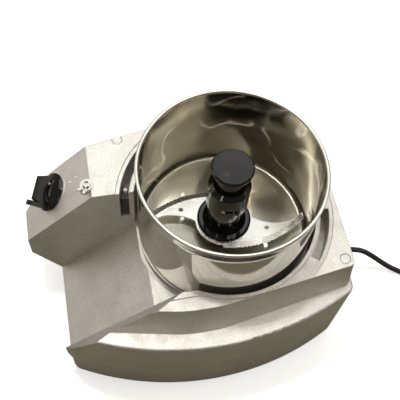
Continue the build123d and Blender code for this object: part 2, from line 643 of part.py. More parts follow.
def knife_nut():
    low = KNIFE_TOP_Z - KNIFE_T - KNIFE_NUT_H
    nut = tube(KNIFE_NUT_R, KNIFE_BORE_R, low, KNIFE_TOP_Z - KNIFE_T)
    for k in range(6):
        nut -= cylinder(NUT_SLOT_R, low - THROUGH, low + KNIFE_NUT_H / 2, *on_circle(KNIFE_NUT_R, 60 * k))
    return chamfer(nut.edges().group_by(Axis.Z)[0].filter_by(GeomType.CIRCLE).sort_by(
        lambda e: e.radius)[-6:], 0.6)


def hub_cap():
    """Knob disc, neck and collar in one, with two bayonet slots for the lock pins."""
    bore = SLEEVE_R + SEAT_GAP
    disc_low = CAP_TOP_Z - CAP_DISC_H
    roof = SLEEVE_TOP_Z + 2 * THROUGH
    crown_h = CAP_EDGE * 0.8
    body = revolve_profile([
        (0, disc_low - CAP_FLARE), (CAP_CAVITY_R, disc_low - CAP_FLARE), (CAP_CAVITY_R, roof),
        (bore, roof), (bore, COLLAR_FOOT_Z), (COLLAR_R, COLLAR_FOOT_Z), (COLLAR_R, COLLAR_TOP_Z - CAP_FLARE),
        (CAP_NECK_R + CAP_FLARE / 2, COLLAR_TOP_Z), (CAP_NECK_R, COLLAR_TOP_Z + CAP_FLARE),
        (CAP_NECK_R, disc_low - CAP_FLARE), (CAP_R - CAP_EDGE, disc_low), (CAP_R, disc_low + CAP_EDGE),
        (CAP_R, CAP_TOP_Z - 2 * CAP_EDGE), (CAP_R - CAP_EDGE, CAP_TOP_Z - crown_h), (0, CAP_TOP_Z)])
    slot_r = LOCK_PIN_R + SEAT_GAP
    for side in (0, 180):
        start = LOCK_PIN_ANGLE + side
        r_in, r_out = bore - THROUGH, COLLAR_R + THROUGH
        run = sector(r_in, r_out, start + LOCK_TURN / 2, LOCK_TURN, LOCK_PIN_Z - slot_r, LOCK_PIN_Z + slot_r)
        ends = [lock_pin_slot_end(start + turn, bore, slot_r) for turn in (0, LOCK_TURN)]
        way_in = Rot(0, 0, start + LOCK_TURN) * block(
            r_in, r_out, -slot_r, slot_r, COLLAR_FOOT_Z - THROUGH, LOCK_PIN_Z)
        body -= run + ends[0] + ends[1] + way_in
    return body


def lock_pin_slot_end(angle, bore, radius):
    mid = (bore + COLLAR_R) / 2
    return Rot(0, 0, angle) * Pos(mid, 0, LOCK_PIN_Z) * Rot(0, 90, 0) * Cylinder(radius, COLLAR_R - bore + 4)


save("knife_blade", knife_blade())
save("knife_hub", knife_hub())
save("knife_lock_pins", *lock_pins())
save("knife_nut", knife_nut())
save("hub_cap", hub_cap())

# ---------------------------------------------------------------- motor and shaft
def drive_shaft():
    shaft = cylinder(SHAFT_R, SHAFT_FOOT_Z, SHAFT_TOP_Z)
    shaft = chamfer(shaft.edges().group_by(Axis.Z)[-1], SHAFT_CHAMFER)
    wide = 2 * SHAFT_R
    flats = block(-wide, wide, -wide, wide, DRIVE_Z, SHAFT_TOP_Z + THROUGH) - block(
        -SHAFT_FLAT, SHAFT_FLAT, -wide, wide, DRIVE_Z, SHAFT_TOP_Z + THROUGH)
    return shaft - flats


def bearing_shield(face_z, away, rim_r):
    """Disc on the stator's end with the bearing's seat; away is 1 above the stator and -1 below."""
    low, high = sorted((face_z, face_z + away * SHIELD_H))
    shield = cylinder(rim_r, low, high)
    shield -= cylinder(BEARING_R, *sorted((face_z - away * THROUGH, face_z + away * BEARING_H)))
    shield -= cylinder(SHIELD_HOLE_R, low - THROUGH, high + THROUGH)
    room = sorted((face_z - away * THROUGH, face_z + away * (WINDING_H + WINDING_ROOM)))
    room_r_in, room_r_out = BEARING_R + BEARING_WALL, WINDING_R_OUT + WINDING_ROOM
    shield -= tube(room_r_out, room_r_in, *room)
    for k in range(AIR_HOLES):
        x, y = on_circle((room_r_in + room_r_out) / 2, 360 / AIR_HOLES * (k + 0.5))
        shield -= cylinder(AIR_HOLE_R, low - THROUGH, high + THROUGH, x, y)
    return shield


def upper_shield():
    """The shield whose flange hangs the motor from the casting."""
    shield = bearing_shield(STATOR_TOP_Z, 1, MOTOR_FLANGE_R)
    for k in range(4):
        x, y = on_circle(MOTOR_BOLT_PCD_R, 45 + 90 * k)
        shield -= cylinder(MOTOR_BOLT_R + HOLE_CLEARANCE, STATOR_TOP_Z - THROUGH, MOTOR_TOP_Z + THROUGH, x, y)
    return shield


def stator():
    """Laminated ring with a finned housing."""
    ring = tube(MOTOR_R - FIN_DEPTH, STATOR_BORE_R, STATOR_FOOT_Z, STATOR_TOP_Z)
    fin = block(MOTOR_R - FIN_DEPTH - THROUGH, MOTOR_R, -FIN_W / 2, FIN_W / 2, STATOR_FOOT_Z, STATOR_TOP_Z)
    for k in range(STATOR_FINS):
        ring += Rot(0, 0, 360 / STATOR_FINS * k) * fin
    return ring


def windings():
    """Copper end turns above and below the laminations, inside the shields' hollows."""
    return [tube(WINDING_R_OUT, WINDING_R_IN, STATOR_TOP_Z, STATOR_TOP_Z + WINDING_H),
            tube(WINDING_R_OUT, WINDING_R_IN, STATOR_FOOT_Z - WINDING_H, STATOR_FOOT_Z)]


def rotor():
    body = cylinder(STATOR_BORE_R - ROTOR_GAP, STATOR_FOOT_Z + ROTOR_END, STATOR_TOP_Z - ROTOR_END)
    return body - cylinder(SHAFT_R, 0, FAR)


def bearing(low):
    return tube(BEARING_R, SHAFT_R + RUN_CLEARANCE, low, low + BEARING_H)


def fan():
    """Hub, disc and upright blades under the motor."""
    low = SHAFT_FOOT_Z + THROUGH
    length, thickness, height = FAN_BLADE
    body = tube(FAN_HUB_R, SHAFT_R, low, low + FAN_HUB_H)
    body += tube(FAN_R, FAN_HUB_R - THROUGH, low + height, low + height + PLATE_T)
    middle = Pos(FAN_R - length / 2 - PLATE_T, 0, low + height / 2)
    blade = middle * Rot(0, 0, FAN_BLADE_TURN) * Box(*FAN_BLADE)
    for k in range(FAN_BLADES):
        body += Rot(0, 0, 360 / FAN_BLADES * k) * blade
    return body


def motor_bolts():
    bolts = []
    for k in range(4):
        x, y = on_circle(MOTOR_BOLT_PCD_R, 45 + 90 * k)
        shank = cylinder(MOTOR_BOLT_R, STATOR_TOP_Z - SEAT_GAP, WELL_FLOOR_Z - WALL / 2 - THROUGH, x, y)
        head = Pos(x, y, STATOR_TOP_Z - BOLT_HEAD_H) * extrude(RegularPolygon(BOLT_HEAD_R, 6), BOLT_HEAD_H)
        bolts.append(shank + head)
    return bolts


def shaft_seal():
    return tube(SEAL_R, SHAFT_R + RUN_CLEARANCE, WELL_FLOOR_Z - SEAL_H, WELL_FLOOR_Z)


save("drive_shaft", drive_shaft())
save("motor_upper_shield", upper_shield())
save("motor_lower_shield", bearing_shield(STATOR_FOOT_Z, -1, MOTOR_R))
save("motor_stator", stator())
save("motor_windings", *windings())
save("motor_rotor", rotor())
save("bearing_upper", bearing(STATOR_TOP_Z))
save("bearing_lower", bearing(STATOR_FOOT_Z - BEARING_H))
save("cooling_fan", fan())
save("motor_bolts", *motor_bolts())
save("shaft_seal", shaft_seal())


# ---------------------------------------------------------------- switch
def switch_knob():
    """Domed skirt, tapered grip and a finger fin, in the panel's frame."""
    dome_r = (KNOB_SKIRT_R ** 2 + KNOB_SKIRT_H ** 2) / (2 * KNOB_SKIRT_H)
    low = KNOB_RING_H + SEAT_GAP
    dome = Pos(0, 0, low + KNOB_SKIRT_H - dome_r) * Sphere(dome_r)
    skirt_body = cylinder(KNOB_SKIRT_R, low, low + KNOB_SKIRT_H) & dome
    length, width, height = KNOB_BAR
    flare_l, flare_w = KNOB_BAR_FLARE
    bar = loft([Pos(0, 0, KNOB_FOOT_Z) * Rectangle(length + flare_l, width + flare_w),
                Pos(0, 0, height) * Rectangle(length, width)])
    bar = fillet(bar.edges().filter_by(Plane.XY).sort_by(Axis.Z)[-4:], KNOB_BAR_ROUND)
    fin_t, fin_w, fin_top = KNOB_FIN
    fin_x = (length + flare_l) / 2 - THROUGH
    fin_round_z = fin_top - fin_w / 2
    fin = Pos(fin_x, 0, (KNOB_FOOT_Z + fin_round_z) / 2) * Box(fin_t, fin_w, fin_round_z - KNOB_FOOT_Z)
    fin += Pos(fin_x, 0, fin_round_z) * Rot(0, 90, 0) * Cylinder(fin_w / 2, fin_t)
    grip = Rot(0, 0, KNOB_TURN) * (bar + fin)
    knob = skirt_body + (grip & cylinder(KNOB_SKIRT_R - SEAT_GAP, low, FAR))
    return knob - cylinder(SPINDLE_R, 0, SPINDLE_OUT)


def switch_spindle():
    return cylinder(SPINDLE_R, -WALL - SPINDLE_IN, SPINDLE_OUT)


def switch_body():
    """Cam switch behind the panel, with three tabs on each side."""
    x, y, z = SWITCH_SIZE
    tab_l = SWITCH_TAB[2]
    top = -WALL
    body = Pos(0, 0, top - z / 2) * Box(x, y, z)
    body -= cylinder(SPINDLE_R + RUN_CLEARANCE, top - SPINDLE_IN - THROUGH, top + THROUGH)
    for side in (-1, 1):
        for row in (-1, 0, 1):
            body += Pos(side * x / 3, row * y / 3, top - z - tab_l / 2 + THROUGH) * Box(*SWITCH_TAB)
    return body


def knob_ring():
    return tube(KNOB_RING_R, SPINDLE_R + 2 * THROUGH, 0, KNOB_RING_H)


panel = panel_frame()
save("switch_knob", panel * switch_knob())
save("switch_spindle", panel * switch_spindle())
save("switch_body", panel * switch_body())
save("switch_ring", panel * knob_ring())


# ---------------------------------------------------------------- interlocks on the tower
def post_screw():
    x, y = POST_POINT
    seat = TOWER_Z + CLIP_T
    shank = cylinder(POST_SCREW_R, seat - POST_SCREW_L, seat, x, y)
    head = cylinder(POST_HEAD_R, seat, seat + POST_HEAD_H, x, y)
    socket = Pos(x, y, seat + CLIP_T) * extrude(RegularPolygon(POST_SCREW_R, 6), POST_HEAD_H)
    return shank + head - socket


def post_clip():
    """Washer with two small tabs that keep the lid's arm on the post."""
    x, y = POST_POINT
    high = TOWER_Z + CLIP_T
    washer = cylinder(CLIP_R, TOWER_Z, high, x, y)
    tongue = block(POST_HEAD_R, CLIP_REACH, -CLIP_T, CLIP_T, TOWER_Z, high)
    tongue += block(CLIP_REACH - CLIP_T, CLIP_REACH, -CLIP_T, CLIP_T, TOWER_Z, high + CLIP_T)
    for turn in CLIP_TABS:
        washer += Pos(x, y, 0) * Rot(0, 0, turn) * tongue
    return washer - cylinder(POST_SCREW_R + RUN_CLEARANCE, TOWER_Z - THROUGH, FAR, x, y)


def lid_switch_point():
    return on_circle((POCKET_R_IN + POCKET_R_OUT) / 2, LID_SWITCH_ANGLE)


def lid_switch():
    """Switch block at the foot of the left pocket, with a bore for its plunger."""
    top = LID_SWITCH_TOP_Z
    body = sector(POCKET_R_IN + LID_SWITCH_GAP, POCKET_R_OUT - LID_SWITCH_GAP, LID_SWITCH_ANGLE,
                  LID_SWITCH_SPAN, POCKET_FLOOR_Z, top)
    bore_low = top - PLUNGER_IN - PLUNGER_ROOM
    return body - cylinder(PLUNGER_R + RUN_CLEARANCE, bore_low, top + THROUGH, *lid_switch_point())


def lid_plunger():
    top = LID_SWITCH_TOP_Z
    pin = cylinder(PLUNGER_R, top - PLUNGER_IN, top + PLUNGER_OUT, *lid_switch_point())
    return fillet(pin.edges().group_by(Axis.Z)[-1], PLUNGER_R / 2)


save("post_screw", post_screw())
save("post_clip", post_clip())
save("lid_switch", lid_switch())
save("lid_switch_plunger", lid_plunger())
for name, (radius, angle, top) in DECK_PLUGS.items():
    plug = cylinder(DECK_PLUG_R, top - DECK_PLUG_H, top - SEAT_GAP, *on_circle(radius, angle))
    save(name, chamfer(plug.edges().group_by(Axis.Z)[-1], SEAT_GAP))


# ---------------------------------------------------------------- bottom plate, feet, electrics
def bottom_plate():
    """Sheet inside the skirt, with screw holes and a ring of vents under the fan."""
    low, high = BASE_BOTTOM, BASE_BOTTOM + PLATE_T
    plate = skirt(WALL + PLATE_EDGE) & block(-FAR, FAR, -FAR, FAR, low, high)
    holes = [(x, y) for x, y, heading in plate_screw_points()] + list(foot_points().values())
    for x, y in holes:
        plate -= cylinder(PLATE_SCREW_R + HOLE_CLEARANCE, low - THROUGH, high + THROUGH, x, y)
    vent = Pos(VENT_AT_R, 0, low) * extrude(SlotOverall(*VENT), 2 * PLATE_T, both=True)
    for k in range(VENTS):
        plate -= Rot(0, 0, 360 / VENTS * k) * vent
    return plate


def plate_screws():
    low = BASE_BOTTOM
    return [cylinder(PLATE_SCREW_R, low - THROUGH, low + PLATE_SCREW_L, x, y)
            + cylinder(SCREW_HEAD_R, low - SCREW_HEAD_H, low, x, y) for x, y, heading in plate_screw_points()]


def foot(x, y):
    """Rubber foot with a recess for its screw, pressed against the plate."""
    recess_r, recess_h = FOOT_RECESS
    body = revolve_profile([(0, 0), (FOOT_R - FOOT_EDGE, 0), (FOOT_R, FOOT_EDGE),
                            (FOOT_R - FOOT_TAPER, BASE_BOTTOM), (0, BASE_BOTTOM)])
    body -= cylinder(recess_r, -THROUGH, recess_h)
    body -= cylinder(PLATE_SCREW_R + HOLE_CLEARANCE, 0, BASE_BOTTOM + THROUGH)
    return Pos(x, y, 0) * body


def foot_screws():
    """Each foot's screw with its nut on the plate."""
    seat, plate_top = FOOT_RECESS[1], BASE_BOTTOM + PLATE_T
    screws = []
    for x, y in foot_points().values():
        body = cylinder(PLATE_SCREW_R, seat - THROUGH, plate_top + SCREW_HEAD_R + 2 * THROUGH, x, y)
        body += cylinder(SCREW_HEAD_R, seat - SCREW_HEAD_H, seat, x, y)
        body += cylinder(SCREW_HEAD_R, plate_top, plate_top + SCREW_HEAD_R, x, y)
        screws.append(body)
    return screws


def control_board():
    """Braked-start board on four spacers, with its transformer and relay."""
    x, y, z = BOARD_AT
    length, width, thickness = BOARD_SIZE
    board = Pos(x, y, z) * Box(*BOARD_SIZE)
    for dx in (SPACER_INSET - length / 2, length / 2 - SPACER_INSET):
        for dy in (SPACER_INSET - width / 2, width / 2 - SPACER_INSET):
            board += cylinder(SPACER_R, BASE_BOTTOM + PLATE_T, z, x + dx, y + dy)
    for (size_x, size_y, height), dx in ((TRANSFORMER, -length / 5), (RELAY, length / 3.5)):
        board += Pos(x + dx, y, z + (thickness + height) / 2) * Box(size_x, size_y, height)
    return board


def capacitor():
    x, y = CAPACITOR_AT
    low = BASE_BOTTOM + PLATE_T
    high = low + CAPACITOR_H
    can = cylinder(CAPACITOR_R, low, high, x, y)
    can = fillet(can.edges().group_by(Axis.Z)[-1], PLATE_T)
    for side in (-1, 1):
        can += Pos(x + side * CAPACITOR_R / 3, y, high + CAPACITOR_TAB[2] / 2 - THROUGH) * Box(*CAPACITOR_TAB)
    return can


def terminal_block():
    x, y = TERMINAL_AT
    low = BASE_BOTTOM + PLATE_T
    height = TERMINAL_SIZE[2]
    body = Pos(x, y, low + height / 2) * Box(*TERMINAL_SIZE)
    for k in (-1, 0, 1):
        at = (x + k * TERMINAL_PITCH, y)
        body -= cylinder(TERMINAL_HOLE_R, low + 2 / 3 * height, low + height + THROUGH, *at)
    return body


save("bottom_plate", bottom_plate())
save("plate_screws", *plate_screws())
for name, (x, y) in foot_points().items():
    save(name, foot(x, y))
save("foot_screws", *foot_screws())
save("control_board", control_board())
save("start_capacitor", capacitor())
save("terminal_block", terminal_block())


# ---------------------------------------------------------------- cable gland and power cord
def along_y(y):
    """Frame at the gland's axis, z towards +Y."""
    return Plane(origin=(GLAND_X, y, GLAND_Z), x_dir=(1, 0, 0), z_dir=(0, 1, 0)).location


def gland():
    """Bush through the back wall and the tapered strain relief in one rubber piece."""
    lip_r = GLAND_HOLE_R + GLAND_LIP
    neck_r = GLAND_HOLE_R - HOLE_CLEARANCE
    root_r, end_r = RELIEF_R
    outline = [(0, -WALL - 2 * GLAND_LIP), (lip_r, -WALL - 2 * GLAND_LIP), (lip_r, -WALL), (neck_r, -WALL),
               (neck_r, 0), (lip_r, 0), (lip_r, GLAND_LIP), (root_r, 2 * GLAND_LIP), (end_r, RELIEF_L),
               (0, RELIEF_L)]
    return along_y(BACK_Y) * revolve_profile(outline)


def coil_point(angle, row, layer):
    x, y = on_circle(COIL_MID_R + row * 2 * CORD_R, angle)
    return COIL_AT[0] + x, COIL_AT[1] + y, CORD_R * (1 + 2 * layer)


# down from the gland to the coil, and from the coil to the plug
CORD_ROUTE = [(GLAND_X, BACK_Y + RELIEF_L, GLAND_Z), (16, 190.9, 47.2), (18.5, 202.2, 40.7), (22, 212.8, 32),
              (26.5, 226.5, 19.5), (32, 240.5, 8.3), (38.5, 253.5, 3.6), (47.5, 266.8, 3.5), (59.0, 279.9, 3.5),
              coil_point(COIL_ENTRY, 1, 0)]
CORD_END = [coil_point(COIL_EXIT, 1, 1), (5.5, 357.6, 12.6), (-3.0, 352.7, 16.4), PLUG_END]


def cord_tube(points):
    """Straight runs joined by tangent arcs, each as large as its two runs allow."""
    spots = [Vector(*p) for p in points]
    radii = []
    for before, here, after in zip(spots, spots[1:], spots[2:]):
        run_in, run_out = here - before, after - here
        turn = radians(run_in.get_angle(run_out))
        radii.append(0.45 * min(run_in.length, run_out.length) / tan(turn / 2))
    print("cord arcs, radius in mm:", [round(r, 1) for r in radii])
    path = FilletPolyline(*spots, radius=radii)
    body = sweep(Plane(origin=spots[0], z_dir=path % 0) * Circle(CORD_R), path=path)
    print("cord tube: length", round(path.length, 1), "volume over section x length",
          round(body.volume / (path.length * pi * CORD_R ** 2), 4))
    return body


def cord_coil():
    half = CORD_R * COIL_ROWS
    ring = tube(COIL_MID_R + half, COIL_MID_R - half, 0, CORD_R * 4)
    return Pos(*COIL_AT, 0) * fillet(ring.edges().filter_by(GeomType.CIRCLE), CORD_R * 0.95)


def plug_frame():
    turn = radians(PLUG_HEADING)
    return Plane(origin=PLUG_END, x_dir=(0, 0, 1), z_dir=(cos(turn), sin(turn), 0)).location


def plug_body():
    front = PLUG_CONE_L + PLUG_L
    root_r, neck_r = PLUG_CONE_R
    outline = [(0, 0), (root_r, 0), (neck_r, PLUG_CONE_L * 0.6), (PLUG_R - PLUG_EDGE, PLUG_CONE_L),
               (PLUG_R, PLUG_CONE_L + 2 * PLUG_EDGE), (PLUG_R, front), (0, front)]
    body = revolve_profile(outline)
    for side in (-1, 1):
        body -= Pos(side * PLUG_R, 0, front) * Box(*PLUG_SLOT)
        body -= cylinder(PLUG_PIN_R, front - PLUG_PIN_IN, front + THROUGH, 0, side * PLUG_PIN_PITCH / 2)
    return plug_frame() * body


def plug_pins():
    front = PLUG_CONE_L + PLUG_L
    pins = []
    for side in (-1, 1):
        pin = cylinder(PLUG_PIN_R, front - PLUG_PIN_IN, front + PLUG_PIN_L, 0, side * PLUG_PIN_PITCH / 2)
        pins.append(plug_frame() * fillet(pin.edges().group_by(Axis.Z)[-1], 1))
    return pins


save("cord_gland", gland())
save("power_cord", cord_tube(CORD_ROUTE), cord_tube(CORD_END))
save("power_cord_coil", cord_coil())
save("plug_body", plug_body())
save("plug_pins", *plug_pins())

save("base_casting", base_casting())
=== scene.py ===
"""Looks of the table-top bowl cutter: spun bowl, finishes, power cord, light and camera."""

import json
from math import cos, pi, radians, sin

import bmesh
import bpy
from mathutils import Matrix, Vector


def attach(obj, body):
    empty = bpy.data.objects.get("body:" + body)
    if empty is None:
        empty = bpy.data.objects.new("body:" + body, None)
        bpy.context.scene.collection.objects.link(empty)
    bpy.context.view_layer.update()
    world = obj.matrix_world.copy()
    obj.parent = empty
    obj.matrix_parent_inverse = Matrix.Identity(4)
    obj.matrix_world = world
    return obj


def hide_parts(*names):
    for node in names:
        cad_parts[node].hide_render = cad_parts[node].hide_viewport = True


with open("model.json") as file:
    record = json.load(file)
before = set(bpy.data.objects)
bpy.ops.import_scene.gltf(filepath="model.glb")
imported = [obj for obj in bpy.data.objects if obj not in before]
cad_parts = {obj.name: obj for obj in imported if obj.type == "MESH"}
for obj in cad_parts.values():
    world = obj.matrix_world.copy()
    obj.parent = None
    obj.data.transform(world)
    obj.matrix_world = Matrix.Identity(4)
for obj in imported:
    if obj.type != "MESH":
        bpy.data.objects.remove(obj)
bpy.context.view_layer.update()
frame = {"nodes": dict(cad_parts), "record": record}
MM = 0.001
AXIS_Y = 45.5             # mm; the drive axis stands this far behind the origin

# ---------------------------------------------------------------- camera
CAMERA_AT = (0.3588, -0.0927, 0.8802)
CAMERA_AZIMUTH = 73.374
CAMERA_ELEVATION = 60.561
CAMERA_ROLL = 6.607
CAMERA_LENS = 63.0        # mm, as the next
CAMERA_SENSOR = 36.0


def make_camera():
    azimuth, elevation, roll = map(radians, (CAMERA_AZIMUTH, CAMERA_ELEVATION, CAMERA_ROLL))
    back = Vector((sin(azimuth) * cos(elevation), -cos(azimuth) * cos(elevation), sin(elevation)))
    level = Vector((cos(azimuth), sin(azimuth), 0))
    upright = back.cross(level)
    right = level * cos(roll) + upright * sin(roll)
    up = upright * cos(roll) - level * sin(roll)
    turn = Matrix((right, up, back)).transposed().to_4x4()
    data = bpy.data.cameras.new("camera")
    data.sensor_width = CAMERA_SENSOR
    data.lens = CAMERA_LENS
    camera = bpy.data.objects.new("camera", data)
    camera.matrix_world = Matrix.Translation(CAMERA_AT) @ turn
    bpy.context.scene.collection.objects.link(camera)
    bpy.context.scene.camera = camera


# ---------------------------------------------------------------- power cord
CORD_R = 3.5              # mm, as each length of this section unless it says otherwise
CORD_ROUTE = [(15, 178, 50), (16, 190.9, 47.2), (18.5, 202.2, 40.7), (22, 212.8, 32), (26.5, 226.5, 19.5),
              (32, 240.5, 8.3), (38.5, 253.5, 3.6), (47.5, 266.8, 3.5), (59, 279.9, 3.5)]
CORD_END = [(5.5, 357.6, 12.6), (-3, 352.7, 16.4), (-12, 347.5, 18.7)]
COIL_AT = (35, 322)
COIL_MID_R = 38.5
COIL_ENTRY = -40          # degrees; each turn keeps its radius from here to the exit
COIL_EXIT = 120
COIL_STEP = 20            # degrees between control points
COIL_TURNS = [(1, 0), (0, 0), (-1, 0), (-1, 1), (0, 1), (1, 1)]     # (row, layer) of each turn
INWARD, CLIMB, OUTWARD = (0.4, 1.0), (0.2, 0.8), (0.0, 0.6)         # parts of the shift's arc
CORD_STEPS = 6            # along the cord, between two control points
CORD_SIDES = 5            # added to each quarter of its section


def eased(part, window):
    """0 before the window, 1 after it and a soft start and end between."""
    first, last = window
    along = min(max((part - first) / (last - first), 0), 1)
    return (1 - cos(pi * along)) / 2


def coil_points():
    """Control points of the coil: each turn shifts to the next one's place on the far side."""
    kept_arc = COIL_EXIT - COIL_ENTRY
    points = []
    for turned in range(0, (len(COIL_TURNS) - 1) * 360 + kept_arc + 1, COIL_STEP):
        turn, within = divmod(turned, 360)
        row, layer = COIL_TURNS[turn]
        part = max(0, within - kept_arc) / (360 - kept_arc)
        if part > 0:
            next_row, next_layer = COIL_TURNS[turn + 1]
            row += (next_row - row) * eased(part, OUTWARD if layer else INWARD)
            layer += (next_layer - layer) * eased(part, CLIMB)
        radius = COIL_MID_R + row * 2 * CORD_R
        angle = radians(COIL_ENTRY + turned)
        points.append((COIL_AT[0] + radius * cos(angle), COIL_AT[1] + radius * sin(angle),
                       CORD_R * (1 + 2 * layer)))
    return points


def in_frame(place):
    """From mm about the drive axis to metres about the origin."""
    x, y, z = place
    return Vector((x, y + AXIS_Y, z)) * MM


def make_cord():
    route = CORD_ROUTE + coil_points() + CORD_END
    data = bpy.data.curves.new("power_cord_sheath", "CURVE")
    data.dimensions = "3D"
    spline = data.splines.new("NURBS")
    spline.points.add(len(route) - 1)
    for point, place in zip(spline.points, route):
        point.co = (*in_frame(place), 1)
        point.radius = CORD_R * MM
    spline.order_u = 3
    spline.use_endpoint_u = True
    data.resolution_u = CORD_STEPS
    data.bevel_depth = 1.0    # times each point's radius
    data.bevel_resolution = CORD_SIDES
    data.use_fill_caps = True
    cord = bpy.data.objects.new("power_cord_sheath", data)
    bpy.context.scene.collection.objects.link(cord)
    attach(cord, "base")
    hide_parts("power_cord", "power_cord_coil")
    return cord


# ---------------------------------------------------------------- finishes
class Finish:
    """A procedural material on one Principled shader, with its patterns on Object coordinates."""

    def __init__(self, name, colour, roughness, metallic=0.0, edge=0.0, **constants):
        self.material = bpy.data.materials.new(name)
        self.material.use_nodes = True
        self.tree = self.material.node_tree
        self.shader = self.tree.nodes["Principled BSDF"]
        self.place = self.tree.nodes.new("ShaderNodeTexCoord").outputs["Object"]
        self.normal = None
        if edge:
            softened = self.node("ShaderNodeBevel", Radius=edge)
            self.normal = softened.outputs["Normal"]
            self.feed("Normal", self.normal)
        self.set("Base Color", (*colour, 1))
        self.set("Roughness", roughness)
        self.set("Metallic", metallic)
        for socket, value in constants.items():
            self.set(socket.replace("_", " "), value)

    def node(self, kind, operation=None, **values):
        node = self.tree.nodes.new(kind)
        if operation:
            node.operation = operation
        for socket, value in values.items():
            node.inputs[socket.replace("_", " ")].default_value = value
        return node

    def link(self, source, target):
        self.tree.links.new(source, target)

    def set(self, socket, value):
        self.shader.inputs[socket].default_value = value

    def feed(self, socket, source):
        self.link(source, self.shader.inputs[socket])

    def noise(self, size, detail=3.0, stretch=(1, 1, 1), place=None):
        """Noise with features of about size metres; stretch makes them longer along an axis."""
        mapping = self.node("ShaderNodeMapping", Scale=[1 / s for s in stretch])
        texture = self.node("ShaderNodeTexNoise", Scale=1 / size, Detail=detail)
        self.link(place or self.place, mapping.inputs["Vector"])
        self.link(mapping.outputs["Vector"], texture.inputs["Vector"])
        return texture.outputs["Fac"]

    def about_axis(self):
        """(distance from the drive axis, 0, height): constant along each turned line."""
        centred = self.node("ShaderNodeVectorMath", "SUBTRACT")
        centred.inputs[1].default_value = (0, AXIS_Y * MM, 0)
        split = self.node("ShaderNodeSeparateXYZ")
        flat = self.node("ShaderNodeCombineXYZ")
        length = self.node("ShaderNodeVectorMath", "LENGTH")
        joined = self.node("ShaderNodeCombineXYZ")
        self.link(self.place, centred.inputs[0])
        self.link(centred.outputs["Vector"], split.inputs["Vector"])
        self.link(split.outputs["X"], flat.inputs["X"])
        self.link(split.outputs["Y"], flat.inputs["Y"])
        self.link(flat.outputs["Vector"], length.inputs[0])
        self.link(length.outputs["Value"], joined.inputs["X"])
        self.link(split.outputs["Z"], joined.inputs["Z"])
        return joined.outputs["Vector"]

    def streaks(self, size, width):
        """1 on thin curves of painted highlight that wander about size metres apart, fading in and out; 0
        elsewhere.
        """
        level = self.node("ShaderNodeMath", "SUBTRACT")
        level.inputs[1].default_value = 0.5
        apart = self.node("ShaderNodeMath", "ABSOLUTE")
        fade = self.node("ShaderNodeMath", "MULTIPLY")
        self.link(self.noise(size, 1.5), level.inputs[0])
        self.link(level.outputs[0], apart.inputs[0])
        self.link(self.spread(apart.outputs[0], 1.0, 0.0, 0.0, width), fade.inputs[0])
        self.link(self.spread(self.noise(size * 0.6, 1), 0.0, 1.0, 0.42, 0.62), fade.inputs[1])
        return fade.outputs[0]

    def spread(self, source, low, high, start=0.3, end=0.7):
        """Maps start to end of a pattern, the middle of a noise as it stands, onto low to high."""
        node = self.node("ShaderNodeMapRange",
                         From_Min=start, From_Max=end, To_Min=low, To_Max=high)
        self.link(source, node.inputs["Value"])
        return node.outputs["Result"]

    def tint(self, source, dark, light, start=0.3, end=0.7):
        """Blends from one colour to the other over the same part of a pattern."""
        node = self.node("ShaderNodeValToRGB")
        for stop, colour, at in zip(node.color_ramp.elements, (dark, light), (start, end)):
            stop.color = (*colour, 1)
            stop.position = at
        self.link(source, node.inputs["Fac"])
        return node.outputs["Color"]

    def relief(self, source, depth):
        """Bump of about depth metres, over the softened edges or over an earlier bump."""
        node = self.node("ShaderNodeBump", Distance=depth)
        self.link(source, node.inputs["Height"])
        if self.normal:
            self.link(self.normal, node.inputs["Normal"])
        self.normal = node.outputs["Normal"]
        self.feed("Normal", self.normal)
        return self.material

    def turned_round_axis(self, amount):
        """Stretches highlights across lines that run round the drive axis."""
        tangent = self.node("ShaderNodeTangent")
        tangent.direction_type = "RADIAL"
        tangent.axis = "Z"
        self.feed("Tangent", tangent.outputs["Tangent"])
        self.set("Anisotropic", amount)


def cast_aluminium():
    """Shot-blasted casting: fine sparkle and grain over a faint cloudiness, with soft edges."""
    f = Finish("cast_aluminium", (0.85, 0.83, 0.79), 0.5, 1.0, edge=1.3 * MM)
    grain = f.noise(0.0017, 3)
    cloud = f.noise(0.03, 4)
    mixed = f.node("ShaderNodeMix")
    mixed.data_type = "RGBA"
    mixed.blend_type = "MULTIPLY"
    mixed.inputs[0].default_value = 1.0
    f.link(f.tint(cloud, (0.80, 0.78, 0.74), (0.90, 0.88, 0.84)), mixed.inputs[6])
    f.link(f.tint(grain, (0.80, 0.80, 0.80), (1.0, 1.0, 1.0)), mixed.inputs[7])
    f.feed("Base Color", mixed.outputs[2])
    f.feed("Roughness", f.spread(f.noise(0.009, 3), 0.46, 0.58))
    return f.relief(grain, 0.00030)


def spun_mirror():
    """Bowl's outside: polished, with the last turned lines just visible."""
    f = Finish("spun_mirror", (0.74, 0.72, 0.67), 0.05, 1.0)
    lines = f.noise(0.0011, 2, place=f.about_axis())
    f.feed("Roughness", f.spread(lines, 0.035, 0.085))
    return f.relief(f.noise(0.035, 1), 0.00007)


